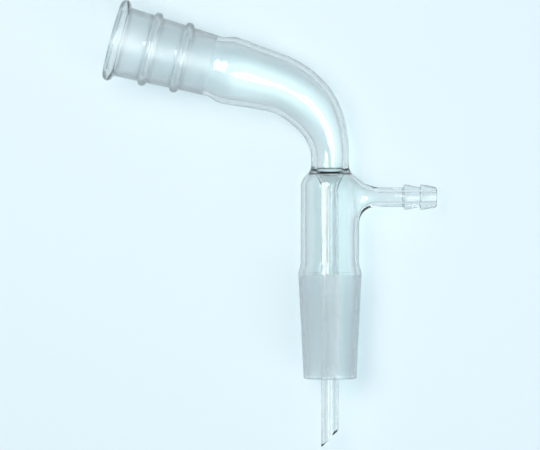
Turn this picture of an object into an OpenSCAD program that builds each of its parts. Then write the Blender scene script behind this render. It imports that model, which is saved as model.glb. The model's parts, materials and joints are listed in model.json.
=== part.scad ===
// Vacuum take off adapter: one piece of blown borosilicate glass.
// A female ground socket leads through a tapering elbow and a ring seal into a drip tube.
// The drip tube hangs inside a jacket that ends in a male ground cone, and a side arm
// with a hose nozzle opens into the jacket.
//
// The glass is drawn in its own plane first: the body axis is Y, with y = 0 at the large
// end of the cone, the side arm points to +X and the socket leans to -X. It is then laid
// on its side on the level surface z = 0, where it comes to rest.

/* [Ground joints] */
// Diameter of the socket's bore and of the cone at their large ends
joint_d = 24; // [19:0.5:29]
// Ground length of the socket and of the cone
joint_len = 40; // [30:1:50]
// Wall of the cone
cone_wall = 1.6; // [1.3:0.1:2]
// Wall of the socket
socket_wall = 1.6; // [1.4:0.1:2]
// Width of the bead round the socket's mouth
rim_bead_w = 4.1; // [3.6:0.1:5]
// How far the mouth bead stands out from the socket's wall
rim_bead_h = 2.3; // [1.8:0.1:2.8]
// Width of each bead round the socket's wall
bead_w = 3.5; // [3:0.1:4]
// How far each of those beads stands out
bead_h = 1.5; // [1:0.1:1.8]
// Distance from the mouth to the first of those beads
bead_start = 15.2; // [10:0.1:16]
// Distance from one of those beads to the next
bead_pitch = 12.3; // [6:0.1:13]

/* [Elbow] */
// Angle between the socket and the body
elbow_angle = 105; // [90:1:120]
// Radius of the bend, to the middle of the tube
bend_r = 30; // [24:1:40]
// Straight run of tube from the socket to the bend
chamber_len = 22.6; // [18:0.1:30]
// Diameter of the shoulder just past the socket
chamber_d = 25.8; // [25:0.1:29]
// Diameter of the tube part way round the bend
bend_d = 20.4; // [17:0.1:23]
// Diameter of the neck
neck_d = 14.4; // [13:0.1:17]
// Wall of the elbow
elbow_wall = 1.9; // [1.5:0.1:2.3]
// Length of the plain neck under the bend
neck_len = 2.6; // [2:0.1:6]

/* [Jacket] */
// Diameter of the jacket
jacket_d = 22.3; // [19:0.1:24]
// Wall of the jacket
jacket_wall = 1.75; // [1.4:0.05:2]
// Height of the jacket's shoulder above the cone
jacket_len = 32.6; // [27:0.1:45]
// Length of the flare from the jacket to the cone
flare_len = 3.1; // [2:0.1:5]
// Outer radius of the shoulder
shoulder_r = 6; // [5:0.1:6.5]
// Radius of the hollow between the shoulder and the neck
waist_r = 5; // [4:0.1:6]

/* [Ring seal] */
// Radius of the roof over the space in the jacket
roof_r = 5.4; // [5:0.1:5.8]
// Radius of the funnel's flare, on its back
funnel_r = 7; // [6.5:0.1:7.5]
// Radius of the crown where the roof meets the funnel
crown_r = 0.9; // [0.6:0.1:1.2]

/* [Drip tube] */
// Diameter of the drip tube
drip_d = 6.6; // [5.5:0.1:8]
// Wall of the drip tube
drip_wall = 1.3; // [1:0.1:1.6]
// How far the tip reaches below the cone
drip_reach = 26; // [20:0.5:45]
// Angle of the tip's cut, away from a square end
tip_angle = 45; // [0:1:50]

/* [Side arm] */
// Diameter of the side arm
arm_d = 7.5; // [6.5:0.1:9]
// Distance from the body axis to the end of the nozzle
arm_reach = 40.5; // [36:0.5:55]
// Distance of the arm's axis below the jacket's shoulder
arm_drop = 3.8; // [3:0.1:14]
// Radius of the fillet from the jacket to the arm, under it
fillet_r = 6; // [4.5:0.1:7]
// Radius of that fillet above the arm, where it runs up the shoulder
fillet_top_r = 14; // [8:0.5:16]
// Diameter over the nozzle's barbs
barb_d = 9.6; // [9.2:0.1:11]
// Number of barbs
barb_count = 2; // [1:1:3]
// Length of one barb
barb_pitch = 6.2; // [5:0.1:7]
// Width of the plain land on each barb
barb_land = 0.8; // [0.4:0.1:1.5]

/* [Hidden] */
$fn = 96;

// Standard joints narrow by 1 mm of diameter in each 10 mm of length
taper = 1 / 10;
// Sides of the elbow's tube, its rings in the shoulder, the rest of the chamber and the bend
elbow_sides = 48;
shoulder_rings = 4;
chamber_rings = 5;
bend_rings = 18;
// Sides of the fillet round the arm, and steps from the arm to the jacket
fillet_sides = 36;
fillet_steps = 6;
// Steps in a quarter turn of a rounded outline
arc_steps = 8;
// Where two stretches of glass meet, how far their ends pass each other, and how far one
// ends inside the other
lap = 0.6;
seam = 0.08;
// Bevel of a flame-polished end, and how far a cutting shape runs past the glass
polish = 0.3;
past = 2;

// The standard taper
joint_r = joint_d / 2;
joint_small_r = joint_r - joint_len * taper / 2;
function taper_r(distance) = joint_r - distance * taper / 2;

// Beads: each is a round bead of glass half sunk in the wall
rim_bead_r = rim_bead_w / 2;
rim_ring_r = taper_r(rim_bead_r) + socket_wall + rim_bead_h - rim_bead_r;
bead_r = bead_w / 2;
bead_places = [for (i = [0:1]) bead_start + i * bead_pitch];
function bead_ring_r(at) = taper_r(at) + socket_wall + bead_h - bead_r;

// Turn of the elbow, from the socket's direction down to the body axis
bend_angle = 180 - elbow_angle;
socket_tilt = 90 - bend_angle;
socket_dir = [cos(socket_tilt), -sin(socket_tilt), 0];

// Jacket, shoulder and neck: the two arcs of the shoulder are tangent
jacket_r = jacket_d / 2;
neck_r = neck_d / 2;
neck_bore_r = neck_r - elbow_wall - 0.2;
shoulder_at = [jacket_r - shoulder_r, jacket_len];
waist_x = neck_r + waist_r;
waist_rise = sqrt(pow(shoulder_r + waist_r, 2) - pow(waist_x - shoulder_at.x, 2));
waist_at = [waist_x, jacket_len + waist_rise];
shoulder_turn = atan2(waist_rise, waist_x - shoulder_at.x);
neck_y = waist_at.y + neck_len;

// Ring seal: the drip tube flares into a funnel whose rim joins the neck. The space round
// it has an arched roof, from the jacket over a small crown to the back of the funnel.
drip_r = drip_d / 2;
drip_bore_r = drip_r - drip_wall;
cavity_r = jacket_r - jacket_wall;
roof_at = [cavity_r - roof_r, jacket_len];
funnel_at = [drip_r + funnel_r, jacket_len - 1.1];
crown_at = tangent_inside(roof_at, roof_r - crown_r, funnel_at, funnel_r - crown_r);
roof_turn = turn_to(roof_at, crown_at);
funnel_turn = turn_to(funnel_at, crown_at);
funnel_bore_turn = 180 - acos((funnel_at.x - neck_bore_r) / (funnel_r + drip_wall));
tip_y = -joint_len - drip_reach;

// Side arm
arm_r = arm_d / 2;
arm_bore_r = arm_r - jacket_wall;
arm_y = jacket_len - arm_drop;
arm_root = jacket_r - past;
barb_r = barb_d / 2;
nozzle_start = arm_reach - barb_count * barb_pitch;

// Path of the elbow: straight from the socket, round the bend, to the neck
bend_len = bend_r * bend_angle * PI / 180;
elbow_len = chamber_len + bend_len;
corner = [0, neck_y + bend_r * tan(bend_angle / 2), 0];
socket_end = corner - (chamber_len + bend_r * tan(bend_angle / 2)) * socket_dir;
mouth = socket_end - joint_len * socket_dir;

// Tube radius along the elbow: distance, radius and slope at each knot
shoulder_run = 5.5;
knots = [
    [0, joint_small_r + socket_wall - seam, 0.15],
    [shoulder_run, chamber_d / 2, 0],
    [14, chamber_d / 2 - 0.75, -0.11],
    [chamber_len + 16, bend_d / 2, -0.085],
    [elbow_len, neck_r - seam, -0.06],
];
start_wall = socket_wall - 2 * seam;
end_wall = neck_r - neck_bore_r - 2 * seam;

function dot(a, b) = a * b;
// The point at one distance from a and another from b, on the side that is up
function tangent_inside(a, a_far, b, b_far) =
    let (d = norm(b - a), u = (b - a) / d, along = (a_far * a_far - b_far * b_far + d * d) / (2 * d))
    a + along * u + sqrt(a_far * a_far - along * along) * [-u.y, u.x];
function turn_to(a, b) = atan2(b.y - a.y, b.x - a.x);
function unit(v) = v / norm(v);
function mix(a, b, t) = a + (b - a) * t;
function clamp(t) = min(max(t, 0), 1);
function ease(t) = t * t * (3 - 2 * t);
function arc(centre, r, from, to, steps = arc_steps) =
    [for (i = [0:steps]) centre + r * [cos(mix(from, to, i / steps)), sin(mix(from, to, i / steps))]];

// A smooth curve through two knots, each a distance, a radius and a slope
function between(a, b, s) =
    let (run = b[0] - a[0], t = (s - a[0]) / run)
    ease(1 - t) * a[1] + ease(t) * b[1]
    + run * t * (1 - t) * ((1 - t) * a[2] - t * b[2]);
function knot_before(s, i = 0) =
    i == len(knots) - 2 || s < knots[i + 1][0] ? i : knot_before(s, i + 1);
function elbow_r(s) =
    let (at = min(max(s, 0), elbow_len), i = knot_before(at)) between(knots[i], knots[i + 1], at);
function elbow_wall_at(s) =
    s < shoulder_run ? mix(start_wall, elbow_wall, ease(clamp(s / shoulder_run)))
    : mix(elbow_wall, end_wall, clamp((s - shoulder_run) / (elbow_len - shoulder_run)));

// Angle of the path below level, and its place, at a distance from the socket
function path_angle(s) = socket_tilt + clamp((s - chamber_len) / bend_len) * bend_angle;
function path_dir(s) = let (a = path_angle(s)) [cos(a), -sin(a), 0];
function path_at(s) =
    s <= chamber_len ? socket_end + s * socket_dir
    : s >= elbow_len ? [0, neck_y - (s - elbow_len), 0]
    : let (a = path_angle(s)) [-bend_r + bend_r * sin(a), neck_y + bend_r * cos(a), 0];

// One ring of points round the path, and a ring list joined into a closed tube
function ring(s, r) =
    let (a = path_angle(s), c = path_at(s), side = [sin(a), cos(a), 0])
    [for (i = [0:elbow_sides - 1])
        let (turn = 360 * i / elbow_sides) c + r * (cos(turn) * side + sin(turn) * [0, 0, 1])];
elbow_stops = concat(
    [-lap, lap / 2],
    [for (i = [1:shoulder_rings]) shoulder_run * i / shoulder_rings],
    [for (i = [1:chamber_rings]) mix(shoulder_run, chamber_len, i / chamber_rings)],
    [for (i = [1:bend_rings]) mix(chamber_len, elbow_len, i / bend_rings)],
    [elbow_len + lap]
);
function flat(lists) = [for (l = lists) for (x = l) x];
// Side faces between the rings of a list, which closes on itself where closed is true
function skin(rings, sides, closed) =
    [for (i = [0:rings - (closed ? 1 : 2)]) for (j = [0:sides - 1])
        let (a = i * sides, b = (i + 1) % rings * sides, k = (j + 1) % sides)
        each [[a + j, b + j, b + k], [a + j, b + k, a + k]]];

module elbow() {
    outside = [for (s = elbow_stops) ring(s, elbow_r(s))];
    inside = [for (i = [len(elbow_stops) - 1:-1:0])
        let (s = elbow_stops[i]) ring(s, elbow_r(s) - elbow_wall_at(s))];
    rings = concat(outside, inside);
    polyhedron(flat(rings), skin(len(rings), elbow_sides, true));
}

// The socket lies along its own axis, from its mouth
module socket() {
    translate(mouth) rotate([0, 0, -socket_tilt]) rotate([0, 90, 0]) rotate_extrude() difference() {
        union() {
            polygon([[joint_small_r, joint_len], [joint_small_r + socket_wall, joint_len],
                [taper_r(rim_bead_r) + socket_wall, rim_bead_r], [taper_r(rim_bead_r), rim_bead_r]]);
            translate([rim_ring_r, rim_bead_r]) circle(rim_bead_r);
            for (at = bead_places) translate([bead_ring_r(at), at]) circle(bead_r);
        }
        polygon([[0, -past], [taper_r(-past), -past],
            [taper_r(joint_len + past), joint_len + past], [0, joint_len + past]]);
    }
}

// Solid outline of the jacket, the cone and the drip tube, round the body axis
module body_outline() {
    polygon(concat(
        [[0, neck_y - lap / 2], [neck_r, neck_y - lap / 2]],
        arc(waist_at, waist_r, 180, 180 + shoulder_turn),
        arc(shoulder_at, shoulder_r, shoulder_turn, 0),
        [[jacket_r, flare_len], [joint_r, 0], [joint_small_r + polish * taper, polish - joint_len],
            [joint_small_r - polish, -joint_len], [drip_r, -joint_len], [drip_r, tip_y - past],
            [0, tip_y - past]]
    ));
}

// Space between the jacket and the drip tube, closed at the top by the ring seal
module jacket_space() {
    polygon(concat(
        [[joint_small_r - cone_wall - past * taper / 2, -joint_len - past],
            [joint_r - cone_wall, 0], [cavity_r, flare_len + 0.5]],
        arc(roof_at, roof_r, 0, roof_turn),
        arc(crown_at, crown_r, roof_turn, funnel_turn),
        arc(funnel_at, funnel_r, funnel_turn, 180),
        [[drip_r, -joint_len - past]]
    ));
}

// Bore from the neck down through the funnel and the drip tube
module drip_bore() {
    polygon(concat(
        [[0, neck_y + past], [neck_bore_r, neck_y + past]],
        arc(funnel_at, funnel_r + drip_wall, funnel_bore_turn, 180),
        [[drip_bore_r, tip_y - past], [0, tip_y - past]]
    ));
}

// Radius of the fillet at each turn round the arm, from 0 above it to 180 under it
function fillet_at(turn) = mix(fillet_r, fillet_top_r, pow((1 + cos(turn)) / 2, 3));
// Ball of that radius that rolls round the arm against the jacket: where its middle is
function ball(turn) =
    let (r = fillet_at(turn), y = arm_y + (arm_r + r) * cos(turn), z = (arm_r + r) * sin(turn),
        rise = max(y - jacket_len, 0),
        out = shoulder_at.x + sqrt(pow(shoulder_r + r, 2) - rise * rise))
    [sqrt(out * out - z * z), y, z];
// Directions from the ball to the arm and to the jacket
function to_arm(turn) = [0, -cos(turn), -sin(turn)];
function to_jacket(turn) =
    let (b = ball(turn), out = norm([b.x, b.z]), rise = max(b.y - jacket_len, 0),
        run = out - shoulder_at.x)
    -unit([b.x / out * run, rise, b.z / out * run]);
function fillet_point(turn, t, r) =
    let (a = to_arm(turn), j = to_jacket(turn), angle = acos(dot(a, j)))
    ball(turn) + r * (sin((1 - t) * angle) * a + sin(t * angle) * j) / sin(angle);

// Flared root of the arm, or of its bore where depth is the glass wall
module arm_flare(depth) {
    turns = [for (i = [0:fillet_sides - 1]) -360 * i / fillet_sides];
    curve = [for (i = [0:fillet_steps])
        [for (turn = turns) fillet_point(turn, i / fillet_steps, fillet_at(turn) + depth + seam)]];
    inner = [for (p = curve[fillet_steps]) [p.x * 0.9, mix(arm_y, p.y, 0.97), p.z * 0.9]];
    rings = concat(curve, [inner]);
    first = len(rings) * fillet_sides;
    last = (len(rings) - 1) * fillet_sides;
    caps = [for (j = [0:fillet_sides - 1]) let (k = (j + 1) % fillet_sides)
        each [[first, j, k], [first + 1, last + k, last + j]]];
    polyhedron(
        concat(flat(rings), [[ball(0).x + lap, arm_y, 0], [inner[0].x - lap, arm_y, 0]]),
        concat(skin(len(rings), fillet_sides, false), caps));
}

module barb_outline(start) {
    polygon([[0, start - past], [arm_r, start - past], [arm_r, start - polish], [barb_r, start],
        [barb_r, start + barb_land], [arm_r, start + barb_pitch - polish],
        [arm_r - polish, start + barb_pitch], [0, start + barb_pitch]]);
}

module round_body() {
    rotate([-90, 0, 0]) rotate_extrude() children();
}

module round_arm() {
    translate([0, arm_y, 0]) rotate([0, 90, 0]) rotate_extrude() children();
}

module body() {
    difference() {
        union() {
            round_body() body_outline();
            arm_flare(0);
            round_arm() {
                translate([0, arm_root]) square([arm_r, nozzle_start - arm_root]);
                for (i = [0:barb_count - 1]) barb_outline(nozzle_start + i * barb_pitch);
            }
        }
        round_body() jacket_space();
        round_body() drip_bore();
        arm_flare(jacket_wall);
        round_arm() translate([0, arm_root]) square([arm_bore_r, arm_reach + past - arm_root]);
        translate([-drip_r, tip_y, 0]) rotate([0, 0, tip_angle])
            translate([-drip_reach, -drip_reach, -drip_d])
            cube([3 * drip_reach, drip_reach, 2 * drip_d]);
    }
}

// How far a round edge reaches in a direction: its middle, axis, radius and edge radius
function reach(edge, dir) =
    dot(edge[0], dir) + edge[2] * norm(dir - dot(dir, edge[1]) * edge[1]) + edge[3];
function furthest(edges, dir, i = 0) =
    i == len(edges) - 1 ? edges[i]
    : let (rest = furthest(edges, dir, i + 1)) reach(edges[i], dir) > reach(rest, dir) ? edges[i] : rest;
rim_edge = [mouth + rim_bead_r * socket_dir, socket_dir, rim_ring_r, rim_bead_r];
cone_edge = [[0, 0, 0], [0, 1, 0], joint_r, 0];
middle_edges = concat(
    [[[0, jacket_len, 0], [0, 1, 0], shoulder_at.x, shoulder_r]],
    [for (at = bead_places) [mouth + at * socket_dir, socket_dir, bead_ring_r(at), bead_r]],
    [for (s = elbow_stops) [path_at(s), path_dir(s), elbow_r(s), 0]]);
nozzle_edge = [[arm_reach, arm_y, 0], [1, 0, 0], arm_r - polish, 0];
tip_edge = [[-drip_r, tip_y, 0], [0, 1, 0], 0, 0];

// The glass rests on its rim, its cone and the lowest bead, ring or shoulder between them:
// each step finds the plane that all three touch, as the direction that is down to it
function rest_step(down) =
    let (edges = [rim_edge, cone_edge, furthest(middle_edges, down)],
        h = [for (e = edges) (reach(e, down) - dot(e[0], down)) / abs(down.z)],
        a = edges[0][0] - edges[2][0], b = edges[1][0] - edges[2][0],
        u = h[2] - h[0], v = h[2] - h[1], det = a.x * b.y - a.y * b.x)
    unit([(u * b.y - v * a.y) / det, (v * a.x - u * b.x) / det, -1]);
function rest_down(down, steps) = steps == 0 ? down : rest_down(rest_step(down), steps - 1);
down = rest_down([0, 0, -1], 12);
rest_y = unit([0, 1, 0] - dot([0, 1, 0], down) * down);
rest_x = -cross(rest_y, down);
left = reach(rim_edge, -rest_x);
right = reach(nozzle_edge, rest_x);
front = reach(tip_edge, -rest_y);
back = reach(rim_edge, rest_y);

// Lays the glass down, with the middle of its box over the origin
module laid() {
    translate([(left - right) / 2, (front - back) / 2, reach(cone_edge, down)])
        multmatrix([[each rest_x, 0], [each rest_y, 0], [each -down, 0], [0, 0, 0, 1]]) children();
}

module glass_adapter() {
    color("lightcyan", 0.6) laid() {
        body();
        elbow();
        socket();
    }
}

glass_adapter();
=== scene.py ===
"""Vacuum take off adapter: one body of clear blown glass with two ground joints.

The glass is drawn in its own plane, in millimetres: y runs up the body with y = 0 at the
cone's large end, x points along the side arm and z towards the viewer. The mounts of the
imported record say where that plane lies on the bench.
"""
import json
import math

import bmesh
import bpy
import numpy as np
from mathutils import Matrix, Vector


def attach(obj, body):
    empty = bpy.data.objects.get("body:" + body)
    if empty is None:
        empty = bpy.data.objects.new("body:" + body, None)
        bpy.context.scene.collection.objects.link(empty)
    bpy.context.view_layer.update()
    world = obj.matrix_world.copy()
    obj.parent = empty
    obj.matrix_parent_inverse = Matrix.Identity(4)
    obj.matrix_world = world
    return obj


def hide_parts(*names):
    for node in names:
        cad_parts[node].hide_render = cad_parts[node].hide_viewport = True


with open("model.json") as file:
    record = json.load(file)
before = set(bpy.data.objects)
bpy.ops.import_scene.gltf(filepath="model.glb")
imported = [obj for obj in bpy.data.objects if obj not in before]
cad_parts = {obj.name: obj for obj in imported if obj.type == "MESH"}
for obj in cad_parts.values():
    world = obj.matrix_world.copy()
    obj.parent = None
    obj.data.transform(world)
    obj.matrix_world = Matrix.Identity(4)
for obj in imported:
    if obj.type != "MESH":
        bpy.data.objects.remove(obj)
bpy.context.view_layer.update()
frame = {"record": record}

MM = 0.001

# Ground joints
JOINT_R = 12.0
JOINT_LEN = 40.0
JOINT_SMALL_R = 10.0
TAPER = (JOINT_R - JOINT_SMALL_R) / JOINT_LEN
CONE_WALL = 1.6
CONE_BORE_R = JOINT_SMALL_R - CONE_WALL
SOCKET_WALL = 1.6
SOCKET_SMALL_R = JOINT_SMALL_R + SOCKET_WALL
MOUTH_RINGS = (2.5, 1.9)  # the last two rings of the bore, from the mouth

# Beads on the socket: (width, height), and where they are, from the mouth
RIM_BEAD = (4.1, 2.3)
RIM_BEAD_START = 244.5  # the turn at which the rim bead meets the bore
BEAD = (3.5, 1.5)
BEAD_FILLET = 0.5
BEADS_AT = (15.2, 27.5)

# Elbow
SOCKET_TILT = 15.0
BEND_ANGLE = 75.0
BEND_R = 30.0
CHAMBER_LEN = 22.6
SHOULDER_RUN = 5.5  # from the socket's small end to where the elbow's wall is full
ELBOW_WALL = 1.9
NECK_R = 7.2
NECK_BORE_R = 5.1
NECK_Y = 43.644

# Jacket, ring seal and drip tube
JACKET_R = 11.15
CAVITY_R = 9.4
FLARE_LEN = 3.1
SHOULDER_AT, SHOULDER_R = (5.15, 32.6), 6.0
WAIST_AT, WAIST_R = (12.2, 41.04), 5.0
ROOF_AT, ROOF_R = (4.0, 32.6), 5.4
FUNNEL_AT, FUNNEL_R = (10.3, 31.5), 7.0
CROWN_R = 0.9
THROAT_R = 0.9
DRIP_R = 3.3
DRIP_BORE_R = 2.0
TIP_Y = -66.0
TIP_SLOPE = math.tan(math.radians(45))
TIP_TURN = 12.0  # the stretch above the tip in which the rings turn to its slope
TIP_LIP = 0.7
TIP_LIP_R = 0.32

# Side arm
ARM_R = 3.75
ARM_BORE_R = 2.0
ARM_Y = 28.8
ARM_STRAIGHT = 22.0  # where the straight tube starts, past the fillet
ARM_END = 40.5
ARM_LIP_R = 0.7
BORE_RINGS = (37.0, 33.0, 29.0, 25.0, ARM_STRAIGHT)  # where the bore has rings, from the nozzle
FILLET_R = 6.0
FILLET_TOP_R = 14.0
BARB_R = 4.8
BARBS_AT = (28.1, 34.3)
BARB_LAND = 0.8
BARB_STEP = 0.3  # a barb's rise along the arm, and the rounding at its foot
BARB_EDGE_R = 0.15
BARB_BACK_R = 0.8

# The arm's opening in the jacket: its lowest row, and how far round the shoulder and the
# roof its highest row is, in degrees
OUTSIDE = (SHOULDER_AT, SHOULDER_R)
INSIDE = (ROOF_AT, ROOF_R)
OPENING_LOW = 17.4
OUTSIDE_TURN = 48.0
INSIDE_TURN = 46.0
OUTSIDE_TOP = SHOULDER_AT[1] + SHOULDER_R * math.radians(OUTSIDE_TURN)
INSIDE_TOP = ROOF_AT[1] + ROOF_R * math.radians(INSIDE_TURN)

# Outlines of the cone's end of the jacket: corners (radius, y, rounding)
CONE_OUTSIDE = (
    (JACKET_R, OPENING_LOW, 0),
    (JACKET_R, FLARE_LEN + 0.3, 4),
    (JOINT_R + 0.02, 0.1, 0.8),
    (JOINT_SMALL_R, -JOINT_LEN, 0),
)
CONE_LIP = (
    (JOINT_SMALL_R + 0.06, 1 - JOINT_LEN, 0),
    (JOINT_SMALL_R, -JOINT_LEN, 0.6),
    (CONE_BORE_R, -JOINT_LEN, 0.6),
    (CONE_BORE_R + 0.05, 1 - JOINT_LEN, 0),
)
CONE_INSIDE = (
    CONE_LIP[-1],
    (JOINT_R - CONE_WALL, 0.1, 3),
    (CAVITY_R, FLARE_LEN + 0.5, 4),
    (CAVITY_R, OPENING_LOW, 0),
)

# How far a point is inside a ground face, where it is in none: far out, or on the cone's lip
CLEAR_DEPTH = -4.0
LIP_DEPTH = -1.0
LIP_HEIGHT = 0.9

# The mesh: columns round every tube, half the columns and the rows of the arm's opening
SIDES = 96
HALF_OPENING = 12
OPENING_ROWS = 28

# Steps along what is curved, and along what is straight
CORNER_STEPS = 4
BEAD_STEPS = 24
WAIST_STEPS = 12
ROOF_STEPS = 3
CROWN_STEPS = 8
FUNNEL_STEPS = 16
PATCH_STEPS = 4
FILLET_STEPS = 14
SOCKET_STEPS = 5
SOCKET_END_STEPS = 6
ELBOW_STEPS = (10, 12, 48)  # to the full wall, to the chamber's end, round the bend
JACKET_STEPS = 8
TUBE_STEPS = 20
TIP_STEPS = 5
MOUTH_STEPS = 25
CONE_STEP = 2.5  # longest step inside the cone


def unit(v):
    return v / np.linalg.norm(v, axis=-1, keepdims=True)


def ease(t):
    return t * t * (3 - 2 * t)


def arc(centre, radius, start, end, steps):
    """Points on an arc, from one angle in degrees to another."""
    turns = np.radians(np.linspace(start, end, steps + 1))
    return [(centre[0] + radius * math.cos(t), centre[1] + radius * math.sin(t)) for t in turns]


def rounded(corners):
    """An outline through corners (a, b, radius), each corner rounded to its radius."""
    points = []
    for i, (a, b, radius) in enumerate(corners):
        here = np.array((a, b), float)
        if radius == 0 or i in (0, len(corners) - 1):
            points.append((a, b))
            continue
        back = unit(np.array(corners[i - 1][:2]) - here)
        ahead = unit(np.array(corners[i + 1][:2]) - here)
        half = math.acos(np.clip(back @ ahead, -1, 1)) / 2
        centre = here + unit(back + ahead) * radius / math.sin(half)
        first = here + back * radius / math.tan(half) - centre
        last = here + ahead * radius / math.tan(half) - centre
        sweep = math.pi - 2 * half
        for k in range(CORNER_STEPS + 1):
            t = k / CORNER_STEPS * sweep
            spot = (math.sin(sweep - t) * first + math.sin(t) * last) / math.sin(sweep)
            points.append(tuple(centre + spot))
    return points


def run(start, end, steps):
    """Points between two ends of a straight stretch, without the ends."""
    start, end = np.array(start), np.array(end)
    return [tuple(start + (end - start) * k / steps) for k in range(1, steps)]


# ---- the path of the socket and the elbow -------------------------------------------
BEND_LEN = BEND_R * math.radians(BEND_ANGLE)
ELBOW_LEN = CHAMBER_LEN + BEND_LEN
tangent = BEND_R * math.tan(math.radians(BEND_ANGLE / 2))
tilt = math.radians(SOCKET_TILT)
SOCKET_DIR = np.array((math.cos(tilt), -math.sin(tilt)))
SOCKET_END = np.array((0, NECK_Y + tangent)) - (CHAMBER_LEN + tangent) * SOCKET_DIR


def path(s):
    """Middle of the tube and its lean below level, s past the socket's small end."""
    lean = tilt + min(max((s - CHAMBER_LEN) / BEND_LEN, 0), 1) * math.radians(BEND_ANGLE)
    if s <= CHAMBER_LEN:
        return SOCKET_END + s * SOCKET_DIR, lean
    return np.array((-BEND_R + BEND_R * math.sin(lean), NECK_Y + BEND_R * math.cos(lean))), lean


# the elbow's outside: (distance past the socket's small end, radius, slope)
KNOTS = (
    (0, SOCKET_SMALL_R, 0.0),
    (SHOULDER_RUN, 12.9, 0),
    (14, 12.15, -0.11),
    (CHAMBER_LEN + 16, 10.2, -0.085),
    (ELBOW_LEN, NECK_R, 0),
)


def elbow_r(s):
    """Outer radius of the elbow: a smooth curve through the knots."""
    for a, b in zip(KNOTS, KNOTS[1:]):
        if s <= b[0] or b is KNOTS[-1]:
            span = b[0] - a[0]
            t = min(max((s - a[0]) / span, 0), 1)
            bow = span * t * (1 - t) * ((1 - t) * a[2] - t * b[2])
            return ease(1 - t) * a[1] + ease(t) * b[1] + bow


def elbow_bore_r(s):
    walls = (SOCKET_WALL, ELBOW_WALL, NECK_R - NECK_BORE_R)
    return elbow_r(s) - np.interp(s, (0, SHOULDER_RUN, ELBOW_LEN), walls)


def socket_wall_r(d):
    """Outer radius of the socket, d from its mouth."""
    return JOINT_R - TAPER * d + SOCKET_WALL


def bead(at, size, first=None):
    """A bead of glass fused to the socket, as (distance, radius), with small fillets. The
    rim bead starts at a turn of its own, first, and has no fillet there."""
    width, height = size
    r, fillet = width / 2, BEAD_FILLET
    sunk = height - r
    dx = math.sqrt((r + fillet) ** 2 - (fillet - sunk) ** 2)
    lean = math.degrees(math.atan2(fillet - sunk, dx))
    shape = arc((0, sunk), r, 180 - lean if first is None else first, lean, BEAD_STEPS)
    shape += arc((dx, fillet), fillet, 180 + lean, 270, CORNER_STEPS)[1:]
    if first is None:
        shape = arc((-dx, fillet), fillet, -90, -lean, CORNER_STEPS)[:-1] + shape
    return [(at + a, socket_wall_r(at if first and a < 0 else at + a) + b) for a, b in shape]


# ---- rings ---------------------------------------------------------------------------
COLUMNS = np.radians(np.arange(SIDES) * 360 / SIDES)


def ring(centre, lean, radius):
    """One ring of points round a tube whose path leans that far below level."""
    side = radius * np.cos(COLUMNS)
    x, y = centre[0] + side * math.sin(lean), centre[1] + side * math.cos(lean)
    return np.stack((x, y, radius * np.sin(COLUMNS)), axis=1)


def body_ring(point):
    """A ring of the body, square to it, at a point (radius, y)."""
    return ring((0, point[1]), math.pi / 2, point[0])


def tip_ring(point, shear=1.0):
    """A ring of the drip tube, at a height above the slanting plane of its tip."""
    r, rise = point
    points = ring((0, TIP_Y + rise), math.pi / 2, r)
    points[:, 1] += shear * TIP_SLOPE * (points[:, 0] + DRIP_R)
    return points


def shell(s, theta, at, r):
    """A point on the jacket's wall, s up its outline and theta round it."""
    turn = max(s - at[1], 0) / r
    radius = at[0] + r * math.cos(turn)
    y = min(s, at[1]) + r * math.sin(turn)
    return np.array((radius * math.cos(theta), y, radius * math.sin(theta)))


def shell_place(point, at, r):
    """s and theta of a point on, or close to, the jacket's wall."""
    rise = point[1] - at[1]
    s = point[1] if rise <= 0 else at[1] + r * math.asin(min(rise / r, 1))
    return s, math.atan2(point[2], point[0])


def ring_seal_crown():
    """Middle of the crown's arc, and the turns at which it meets the roof and the funnel."""
    roof, funnel = np.array(ROOF_AT), np.array(FUNNEL_AT)
    far = np.linalg.norm(funnel - roof)
    along = ((ROOF_R - CROWN_R) ** 2 - (FUNNEL_R - CROWN_R) ** 2 + far**2) / (2 * far)
    u = (funnel - roof) / far
    aside = math.sqrt((ROOF_R - CROWN_R) ** 2 - along**2)
    crown = roof + along * u + aside * np.array((-u[1], u[0]))
    roof_turn = math.degrees(math.atan2(*(crown - roof)[::-1]))
    funnel_turn = math.degrees(math.atan2(*(crown - funnel)[::-1]))
    return crown, roof_turn, funnel_turn


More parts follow.
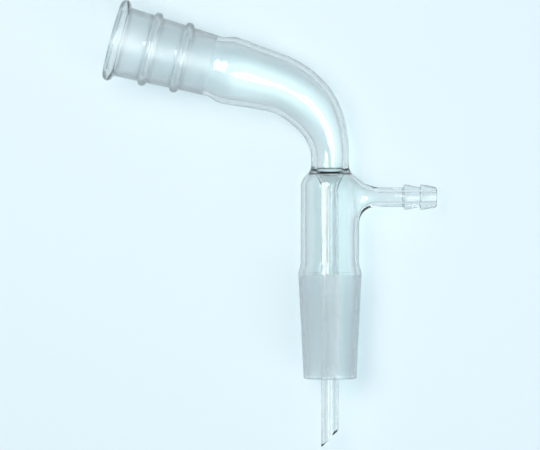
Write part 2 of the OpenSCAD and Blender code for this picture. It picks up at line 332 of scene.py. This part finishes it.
def main_rings():
    """Every ring from the socket's mouth round the outside, up the inside and back.
    Returns the rings, how far each is inside a ground face, and where both openings start."""
    rings, ground, openings = [], [], []

    def add(points, depth=CLEAR_DEPTH):
        rings.append(points)
        ground.append(depth)

    def add_body(points):
        for p in points:
            add(body_ring(p))

    def add_opening(ends, wall):
        openings.append(len(rings))
        for s in np.linspace(*ends, OPENING_ROWS + 1):
            x, y, _ = shell(s, 0, *wall)
            add(body_ring((x, y)))

    def add_tip(r, steps):
        for k in steps:
            t = k / TIP_STEPS
            add(tip_ring((r, TIP_TURN + (TIP_LIP - TIP_TURN) * t), ease(t)))

    # socket, from the mouth
    outline = bead(RIM_BEAD[0] / 2, RIM_BEAD, first=RIM_BEAD_START)
    for at in BEADS_AT:
        shape = bead(at, BEAD)
        outline += run(outline[-1], shape[0], SOCKET_STEPS) + shape
    outline += run(outline[-1], (JOINT_LEN, SOCKET_SMALL_R), SOCKET_END_STEPS)
    for d, r in outline:
        add(ring(path(d - JOINT_LEN)[0], tilt, r))
    mouth_bore = outline[0][0]

    # elbow
    ends = (0, SHOULDER_RUN, CHAMBER_LEN, ELBOW_LEN)
    stops = [np.linspace(a, b, n + 1)[:-1] for a, b, n in zip(ends, ends[1:], ELBOW_STEPS)]
    stops = np.concatenate(stops + [(ELBOW_LEN,)])
    for s in stops:
        centre, lean = path(s)
        add(ring(centre, lean, elbow_r(s)))

    # waist and shoulder, down to the arm's opening
    join = math.degrees(math.acos((WAIST_AT[0] - SHOULDER_AT[0]) / (SHOULDER_R + WAIST_R)))
    add_body(arc(WAIST_AT, WAIST_R, 180, 180 + join, WAIST_STEPS))
    add_opening((OUTSIDE_TOP, OPENING_LOW), OUTSIDE)

    # jacket, flare and cone, over the lip
    lower = rounded(CONE_OUTSIDE)[:-1]
    for p in run(lower[0], lower[1], JACKET_STEPS) + lower[1:]:
        add(body_ring(p), -p[1])
    for p in run(lower[-1], CONE_OUTSIDE[-1][:2], TUBE_STEPS):
        add(body_ring(p), min(-p[1], JOINT_LEN + p[1]))
    for p in rounded(CONE_LIP)[1:]:
        add(body_ring(p), LIP_DEPTH if p[1] < -JOINT_LEN + LIP_HEIGHT else CLEAR_DEPTH)
    upper = rounded(CONE_INSIDE)
    for a, b in zip(upper, upper[1:]):
        steps = max(1, round(math.dist(a, b) / CONE_STEP))
        add_body(run(a, b, steps) + ([b] if b is not upper[-1] else []))

    # inside of the jacket, roof, crown and the back of the funnel
    add_opening((OPENING_LOW, INSIDE_TOP), INSIDE)
    crown, roof_turn, funnel_turn = ring_seal_crown()
    add_body(arc(ROOF_AT, ROOF_R, INSIDE_TURN, roof_turn, ROOF_STEPS)[1:])
    add_body(arc(crown, CROWN_R, roof_turn, funnel_turn, CROWN_STEPS)[1:-1])
    add_body(arc(FUNNEL_AT, FUNNEL_R, funnel_turn, 180, FUNNEL_STEPS))

    # drip tube, its slanting tip and its bore
    add_body(run((DRIP_R, FUNNEL_AT[1]), (DRIP_R, TIP_Y + TIP_TURN), TUBE_STEPS))
    add_tip(DRIP_R, range(TIP_STEPS))
    for p in rounded([
        (DRIP_R, TIP_LIP, 0),
        (DRIP_R, 0, TIP_LIP_R),
        (DRIP_BORE_R, 0, TIP_LIP_R),
        (DRIP_BORE_R, TIP_LIP, 0),
    ]):
        add(tip_ring(p))
    add_tip(DRIP_BORE_R, reversed(range(TIP_STEPS)))
    add_body(run((DRIP_BORE_R, TIP_Y + TIP_TURN), (DRIP_BORE_R, FUNNEL_AT[1]), TUBE_STEPS))

    # the funnel's throat, up to the neck's bore
    throat_r = FUNNEL_R + DRIP_R - DRIP_BORE_R
    throat_turn = 180 - math.degrees(math.acos((FUNNEL_AT[0] - NECK_BORE_R) / throat_r))
    throat = arc(FUNNEL_AT, throat_r, 180, throat_turn, FUNNEL_STEPS)
    corner = rounded([(*throat[-3], 0), (*throat[-1], THROAT_R), (NECK_BORE_R, NECK_Y, 0)])
    add_body(throat[:-3] + corner[:-1])

    # inside of the elbow and the socket's bore
    for s in stops[::-1]:
        centre, lean = path(s)
        add(ring(centre, lean, elbow_bore_r(s)))
    along_bore = np.linspace(JOINT_LEN, MOUTH_RINGS[0], MOUTH_STEPS + 1)[1:]
    for d in (*along_bore, MOUTH_RINGS[1]):
        middle = path(d - JOINT_LEN)[0]
        add(ring(middle, tilt, JOINT_R - TAPER * d), min(d - mouth_bore, JOINT_LEN - d))
    return rings, ground, openings


# ---- side arm ------------------------------------------------------------------------
def fillet_at(turn):
    """Radius of the fillet at a turn round the arm, from 0 above it."""
    return FILLET_R + (FILLET_TOP_R - FILLET_R) * ((1 + math.cos(turn)) / 2) ** 3


def fillet_point(turn, t, wall, tube_r):
    """A point of the fillet from the arm's tube (t = 0) to the jacket's wall (t = 1): the
    fillet is the side of a ball that rolls round the arm and touches both."""
    at, shoulder_r = wall
    radius = fillet_at(turn) + ARM_R - tube_r
    y = ARM_Y + (tube_r + radius) * math.cos(turn)
    z = (tube_r + radius) * math.sin(turn)
    rise = max(y - at[1], 0)
    reach = math.sqrt((shoulder_r + radius) ** 2 - rise**2)
    out = at[0] + reach
    middle = np.array((math.sqrt(out**2 - z**2), y, z))
    to_arm = np.array((0, -math.cos(turn), -math.sin(turn)))
    to_jacket = -unit(np.array((middle[0] / out * reach, rise, middle[2] / out * reach)))
    angle = math.acos(to_arm @ to_jacket)
    spot = math.sin((1 - t) * angle) * to_arm + math.sin(t * angle) * to_jacket
    return middle + radius * spot / math.sin(angle)


def opening_edge(first_row, upward):
    """Grid indices round an opening, from its top middle towards the viewer and round."""
    rows = [first_row + k for k in range(OPENING_ROWS + 1)]
    rows = rows[::-1] if upward else rows
    h = HALF_OPENING
    steps = [(rows[0], c) for c in range(0, h)] + [(r, h) for r in rows[:-1]]
    steps += [(rows[-1], c) for c in range(h, -h, -1)] + [(r, -h) for r in rows[:0:-1]]
    steps += [(rows[0], c) for c in range(-h, 0)]
    return [r * SIDES + c % SIDES for r, c in steps]


def patch(edge_points, wall, tube_r):
    """Rings between an opening's edge and the fillet's foot, all on the jacket's wall."""
    count = len(edge_points)
    feet = [fillet_point(2 * math.pi * k / count, 1, wall, tube_r) for k in range(count)]
    rings = []
    for i in range(1, PATCH_STEPS + 1):
        points = []
        for edge, foot in zip(edge_points, feet):
            a, b = shell_place(edge, *wall), shell_place(foot, *wall)
            t = i / PATCH_STEPS
            points.append(shell(a[0] + (b[0] - a[0]) * t, a[1] + (b[1] - a[1]) * t, *wall))
        rings.append(np.array(points))
    return rings


def arm_rings(outer_edge, inner_edge):
    """Rings of the side arm, from the outer opening out to the nozzle and back in."""
    count = len(outer_edge)
    turns = [2 * math.pi * k / count for k in range(count)]

    def round_arm(x, r):
        return np.array([(x, ARM_Y + r * math.cos(t), r * math.sin(t)) for t in turns])

    def fillet(t, wall, tube_r):
        return np.array([fillet_point(turn, t, wall, tube_r) for turn in turns])

    corners = [(ARM_STRAIGHT, ARM_R, 0)]
    for start in BARBS_AT:
        corners += [
            (start - BARB_STEP, ARM_R, BARB_STEP),
            (start, BARB_R, BARB_EDGE_R),
            (start + BARB_LAND, BARB_R, BARB_BACK_R),
        ]
    corners += [
        (ARM_END, ARM_R, ARM_LIP_R),
        (ARM_END, ARM_BORE_R, ARM_LIP_R),
        (BORE_RINGS[0], ARM_BORE_R, 0),
    ]
    rings = patch(outer_edge, OUTSIDE, ARM_R)
    rings += [fillet(t, OUTSIDE, ARM_R) for t in np.linspace(1, 0, FILLET_STEPS + 1)[1:]]
    rings += [round_arm(x, r) for x, r in rounded(corners)]
    rings += [round_arm(x, ARM_BORE_R) for x in BORE_RINGS[1:]]
    rings += [fillet(t, INSIDE, ARM_BORE_R) for t in np.linspace(0, 1, FILLET_STEPS + 1)[:-1]]
    return rings + patch(inner_edge, INSIDE, ARM_BORE_R)[::-1]


# ---- the mesh ------------------------------------------------------------------------
def glass_mesh():
    """The whole glass as one closed mesh: points, faces and how far each point is inside a
    ground face."""
    rings, ground, openings = main_rings()
    points = np.concatenate(rings)
    depth = np.repeat(ground, SIDES)
    count = len(rings)
    faces = []
    for i in range(count):
        in_rows = any(first <= i < first + OPENING_ROWS for first in openings)
        for j in range(SIDES):
            column = (j + SIDES // 2) % SIDES - SIDES // 2
            if in_rows and -HALF_OPENING <= column < HALF_OPENING:
                continue
            k, n = (j + 1) % SIDES, (i + 1) % count
            faces.append((i * SIDES + j, i * SIDES + k, n * SIDES + k, n * SIDES + j))
    outer = opening_edge(openings[0], False)
    inner = opening_edge(openings[1], True)
    arm = arm_rings(points[outer], points[inner])
    loops, base = [outer], len(points)
    for i in range(len(arm)):
        loops.append([base + i * len(outer) + k for k in range(len(outer))])
    loops.append(inner)
    for a, b in zip(loops, loops[1:]):
        for k in range(len(a)):
            n = (k + 1) % len(a)
            faces.append((a[k], a[n], b[n], b[k]))
    points = np.concatenate([points] + arm)
    depth = np.concatenate((depth, np.full(len(arm) * len(outer), CLEAR_DEPTH)))

    # the points inside the openings are in no face
    used = np.unique(np.array(faces))
    renumber = np.zeros(len(points), int)
    renumber[used] = np.arange(len(used))
    return points[used], renumber[np.array(faces)], depth[used]


def bench_frame():
    """The matrix that lays the glass's own plane on the bench, from the record's mounts."""
    mounts = {m["name"]: m for m in frame["record"]["mounts"]}
    up = -Vector(mounts["cone"]["axis"]).normalized()
    across = Vector(mounts["hose_nozzle"]["axis"]).normalized()
    toward = across.cross(up).normalized()
    turn = Matrix((across, up, toward)).transposed().to_4x4()
    shift = Matrix.Translation(Vector(mounts["cone"]["pos_m"]))
    return shift @ turn @ Matrix.Diagonal((MM, MM, MM, 1))


def make_glass():
    points, faces, depth = glass_mesh()
    mesh = bpy.data.meshes.new("glass")
    mesh.from_pydata(points.tolist(), [], faces.tolist())
    mesh.transform(bench_frame())
    ground_depth = mesh.attributes.new("ground_depth", "FLOAT", "POINT")
    ground_depth.data.foreach_set("value", depth.astype(np.float32))
    shape = bmesh.new()
    shape.from_mesh(mesh)
    bmesh.ops.recalc_face_normals(shape, faces=shape.faces)
    shape.to_mesh(mesh)
    shape.free()
    mesh.shade_smooth()
    made = bpy.data.objects.new("glass", mesh)
    bpy.context.scene.collection.objects.link(made)
    return made


# ---- materials -----------------------------------------------------------------------
def new_material(name):
    """An empty material and its node tree."""
    material = bpy.data.materials.new(name)
    material.use_nodes = True
    material.node_tree.nodes.clear()
    return material, material.node_tree


def node(tree, kind, inputs=None, **settings):
    """A node with its settings. Each input is a value, or another node's output to link."""
    made = tree.nodes.new(kind)
    for key, value in settings.items():
        setattr(made, key, value)
    for key, value in (inputs or {}).items():
        if isinstance(value, bpy.types.NodeSocket):
            tree.links.new(value, made.inputs[key])
        else:
            made.inputs[key].default_value = value
    return made


def noise(tree, place, scale, detail):
    inputs = {"Vector": place, "Scale": scale, "Detail": detail}
    return node(tree, "ShaderNodeTexNoise", inputs).outputs["Fac"]


def blend(tree, factor, first, second):
    """A mix of two colours, each a value or an output."""
    inputs = {"Factor": factor, "A": first, "B": second}
    return node(tree, "ShaderNodeMix", inputs, data_type="RGBA").outputs["Result"]


def glass_material():
    """Clear borosilicate glass, frosted where ground_depth is above zero."""
    material, tree = new_material("borosilicate_glass")
    place = node(tree, "ShaderNodeTexCoord").outputs["Object"]
    depth = node(tree, "ShaderNodeAttribute", attribute_name="ground_depth").outputs["Fac"]

    # the ground face's edge wavers by a fraction of a millimetre
    waver = noise(tree, place, 260.0, 3.0)
    shift = node(tree, "ShaderNodeMath", {0: waver, 1: 0.9, 2: depth}, operation="MULTIPLY_ADD")
    mask = node(
        tree,
        "ShaderNodeMapRange",
        {"Value": shift.outputs[0], "From Min": 0.95, "From Max": 1.35},
        interpolation_type="SMOOTHSTEP",
    ).outputs[0]

    # grinding leaves a fine even grain, a little finer in some bands than others
    grain = noise(tree, place, 4200.0, 2.0)
    cloud = noise(tree, place, 190.0, 4.0)
    matt = node(tree, "ShaderNodeMapRange", {"Value": cloud, "To Min": 0.16, "To Max": 0.26})
    rough = node(tree, "ShaderNodeMath", {0: mask, 1: matt.outputs[0]}, operation="MULTIPLY")

    # ground faces scatter some of the light, clear glass lets nearly all of it through
    # and has painted shade where it is seen edge on: its colour goes near black there, to draw
    # dark outlines
    clear = node(tree, "ShaderNodeMapRange", {"Value": mask, "To Min": 1.0, "To Max": 0.84})
    edge = node(tree, "ShaderNodeLayerWeight", {"Blend": 0.5}).outputs["Facing"]
    # painted shade: how far the glass's colour goes towards near black at its edges as seen
    painted_edge_shade_amount = node(tree, "ShaderNodeMath", {0: edge, 1: 2.1}, operation="POWER").outputs[0]
    painted_edge_shade_tint = blend(tree, painted_edge_shade_amount, (0.985, 0.992, 0.992, 1), (0.012, 0.02, 0.024, 1))
    tint = blend(tree, mask, painted_edge_shade_tint, (0.80, 0.84, 0.86, 1))

    # blown glass has long shallow waves, ground glass has the grain
    waves = noise(tree, place, 55.0, 1.0)
    wavy = node(tree, "ShaderNodeBump", {"Strength": 0.15, "Distance": 0.0006, "Height": waves})
    gritty = node(
        tree,
        "ShaderNodeBump",
        {"Strength": mask, "Distance": 0.00006, "Height": grain, "Normal": wavy.outputs[0]},
    )
    bsdf = node(
        tree,
        "ShaderNodeBsdfPrincipled",
        {
            "Base Color": tint,
            "Roughness": rough.outputs[0],
            "IOR": 1.473,
            "Transmission Weight": clear.outputs[0],
            "Normal": gritty.outputs[0],
        },
    )

    # lamps shine through the glass, less where it is seen edge on or is ground
    facing = node(tree, "ShaderNodeLayerWeight", {"Blend": 0.35}).outputs["Facing"]
    dim = blend(tree, facing, (0.96, 0.985, 0.98, 1), (0.42, 0.47, 0.48, 1))
    milky = blend(tree, mask, dim, (0.68, 0.71, 0.72, 1))
    through = node(tree, "ShaderNodeBsdfTransparent", {"Color": milky})
    shadow = node(tree, "ShaderNodeLightPath").outputs["Is Shadow Ray"]
    layers = {0: shadow, 1: bsdf.outputs[0], 2: through.outputs[0]}
    surface = node(tree, "ShaderNodeMixShader", layers)
    absorb = {"Color": (0.25, 0.36, 0.38, 1), "Density": 26.0}
    volume = node(tree, "ShaderNodeVolumeAbsorption", absorb)
    ends = {"Surface": surface.outputs[0], "Volume": volume.outputs[0]}
    node(tree, "ShaderNodeOutputMaterial", ends)
    return material


def bench_material():
    """Matt pale bench, plain all over."""
    material, tree = new_material("bench")
    paint = node(
        tree,
        "ShaderNodeBsdfPrincipled",
        {"Base Color": (0.74, 0.855, 0.905, 1), "Roughness": 0.75, "Specular IOR Level": 0.2},
    )
    node(tree, "ShaderNodeOutputMaterial", {"Surface": paint.outputs[0]})
    return material


# ---- the piece -----------------------------------------------------------------------
glass = make_glass()
glass.data.materials.append(glass_material())
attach(glass, "root")
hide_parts("glass_adapter")

# ---- floor, camera, lights and studio ------------------------------------------------
FLOOR_SIZE = 6
bpy.ops.mesh.primitive_plane_add(size=FLOOR_SIZE, location=(0, 0, 0))
floor = bpy.context.object
floor.name = "bench_top"
floor.data.materials.append(bench_material())

# The camera looks straight at the glass's plane: the middle of the view in millimetres,
# its width and the distance in metres
VIEW_MIDDLE = (-22.74, 18.27, 0)
VIEW_WIDTH = 0.2047
VIEW_DISTANCE = 1.6
VIEW_CLIP = 20
SENSOR = 36


def make_camera():
    place = bench_frame()
    up = (place.to_3x3() @ Vector((0, 1, 0))).normalized()
    toward = (place.to_3x3() @ Vector((0, 0, 1))).normalized()
    right = up.cross(toward)
    lens = bpy.data.cameras.new("view")
    lens.sensor_width = SENSOR
    lens.lens = SENSOR * VIEW_DISTANCE / VIEW_WIDTH
    lens.clip_end = VIEW_CLIP
    camera = bpy.data.objects.new("view", lens)
    bpy.context.scene.collection.objects.link(camera)
    spot = Matrix.Translation(place @ Vector(VIEW_MIDDLE) + toward * VIEW_DISTANCE)
    camera.matrix_world = spot @ Matrix((right, up, toward)).transposed().to_4x4()
    bpy.context.scene.camera = camera


LAMP_TARGET = (0, 0.01, 0)


def softbox(name, position, size, power, colour):
    light = bpy.data.lights.new(name, "AREA")
    light.shape = "RECTANGLE"
    light.size, light.size_y = size
    light.energy = power
    light.color = colour
    lamp = bpy.data.objects.new(name, light)
    lamp.location = position
    aim = Vector(LAMP_TARGET) - Vector(position)
    lamp.rotation_euler = aim.to_track_quat("-Z", "Y").to_euler()
    bpy.context.scene.collection.objects.link(lamp)


# the studio's walls are a little dimmer than its ceiling: (height, colour)
STUDIO = ((0.05, (0.21, 0.235, 0.25, 1)), (0.75, (0.28, 0.315, 0.34, 1)))


def make_studio():
    world = bpy.data.worlds.new("studio")
    bpy.context.scene.world = world
    world.use_nodes = True
    tree = world.node_tree
    way = node(tree, "ShaderNodeTexCoord").outputs["Generated"]
    split = node(tree, "ShaderNodeSeparateXYZ", {0: way})
    ramp = node(tree, "ShaderNodeValToRGB", {0: split.outputs["Z"]})
    for stop, (height, colour) in zip(ramp.color_ramp.elements, STUDIO):
        stop.position = height
        stop.color = colour
    sky = tree.nodes["Background"]
    tree.links.new(ramp.outputs[0], sky.inputs["Color"])
    sky.inputs["Strength"].default_value = 1.0


make_camera()
softbox("key", (-0.26, 0.24, 0.85), (0.6, 0.5), 6.0, (1.0, 0.985, 0.96))
softbox("fill", (0.45, -0.25, 0.55), (0.3, 0.6), 1.9, (0.93, 0.97, 1.0))
make_studio()
bpy.context.scene.view_settings.view_transform = "Standard"
